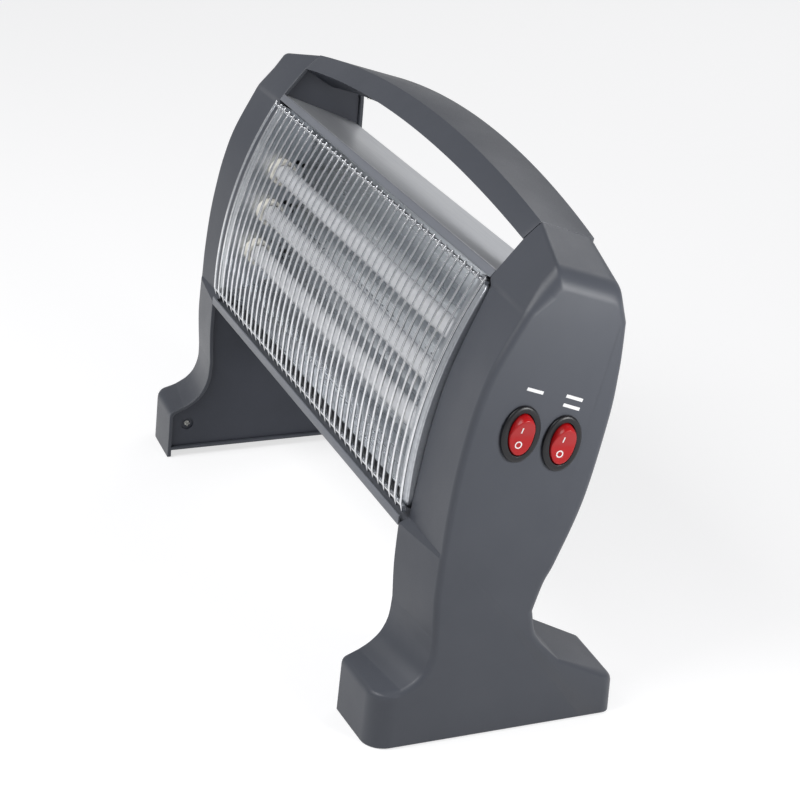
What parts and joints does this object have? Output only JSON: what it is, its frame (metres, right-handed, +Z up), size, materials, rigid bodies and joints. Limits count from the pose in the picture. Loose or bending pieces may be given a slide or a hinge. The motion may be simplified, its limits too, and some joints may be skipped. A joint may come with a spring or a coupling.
{
  "type": "quartz heater",
  "caption": "Portable quartz radiant heater: horizontal tubes before a bent reflector behind a bowed wire guard, between moulded side panels on feet, with rocker switches and a carrying handle.",
  "frame": {"origin": "on the floor, under the middle of the heater's box", "axes": "+X along the width towards the panel with the two switches, +Y to the back (the guard faces -Y), +Z up"},
  "size_m": [0.4197, 0.15, 0.2943],
  "materials": {
    "panel": "satin slate grey",
    "cover": "matt dark grey",
    "screw": "blackened steel",
    "rail": "satin slate grey paint",
    "top_sheet": "bright rolled sheet",
    "plain_sheet": "zinc coated sheet",
    "guard": "bright plated wire",
    "reflector": "polished sheet",
    "end_plate": "bright sheet",
    "quartz": "milky quartz",
    "heating_wire": "oxidised wire",
    "ceramic": "unglazed",
    "black_plastic": "black, satin",
    "red_plastic": "glossy red",
    "brass": "plain turned",
    "lead": "glass braid sleeve"
  },
  "bodies": {
    "heater": {"right_side_shell": "panel", "right_inner_cover": "cover", "right_cover_screw_toe": "screw", "right_cover_screw_heel": "screw", "right_cover_screw_back": "screw", "left_side_shell": "panel", "left_inner_cover": "cover", "left_cover_screw_toe": "screw", "left_cover_screw_heel": "screw", "left_cover_screw_back": "screw", "handle_grip": "panel", "handle_belly": "cover", "handle_screw_left": "screw", "handle_screw_right": "screw", "top_rail": "rail", "bottom_rail": "rail", "top_sheet": "top_sheet", "back_sheet": "plain_sheet", "base_sheet": "plain_sheet", "wire_guard": "guard", "reflector": "reflector", "end_plate_right": "end_plate", "end_plate_left": "end_plate", "quartz_tube_1": "quartz", "quartz_tube_2": "quartz", "quartz_tube_3": "quartz", "heating_coil_1": "heating_wire", "heating_coil_2": "heating_wire", "heating_coil_3": "heating_wire", "tube_cap_right_1": "ceramic", "tube_cap_right_2": "ceramic", "tube_cap_right_3": "ceramic", "tube_cap_left_1": "ceramic", "tube_cap_left_2": "ceramic", "tube_cap_left_3": "ceramic", "terminal_block": "ceramic", "switch_case_1": "black_plastic", "switch_case_2": "black_plastic", "tip_switch_case": "black_plastic", "cord_bush": "black_plastic", "supply_lead_1": "lead", "supply_lead_2": "lead", "supply_lead_3": "lead", "far_link_1": "lead", "far_link_2": "lead"},
    "rocker_1": {"rocker_1": "red_plastic"},
    "rocker_2": {"rocker_2": "red_plastic"},
    "tip_weight": {"tip_switch_weight": "brass"}
  },
  "joints": [
    {"name": "rocker_1_tilt", "type": "hinge", "parent": "heater", "child": "rocker_1", "pos_m": [0.20202, -0.0054, 0.1827], "axis": [0, -0.9976, 0.0698], "range_deg": [0, 20]},
    {"name": "rocker_2_tilt", "type": "hinge", "parent": "heater", "child": "rocker_2", "pos_m": [0.20202, 0.01938, 0.17484], "axis": [0, -0.9976, 0.0698], "range_deg": [0, 20]},
    {"name": "tip_weight_swing", "type": "hinge", "parent": "heater", "child": "tip_weight", "pos_m": [0.185, -0.015, 0.0956], "axis": [1, 0, 0], "range_deg": [-20, 20]}
  ]
}
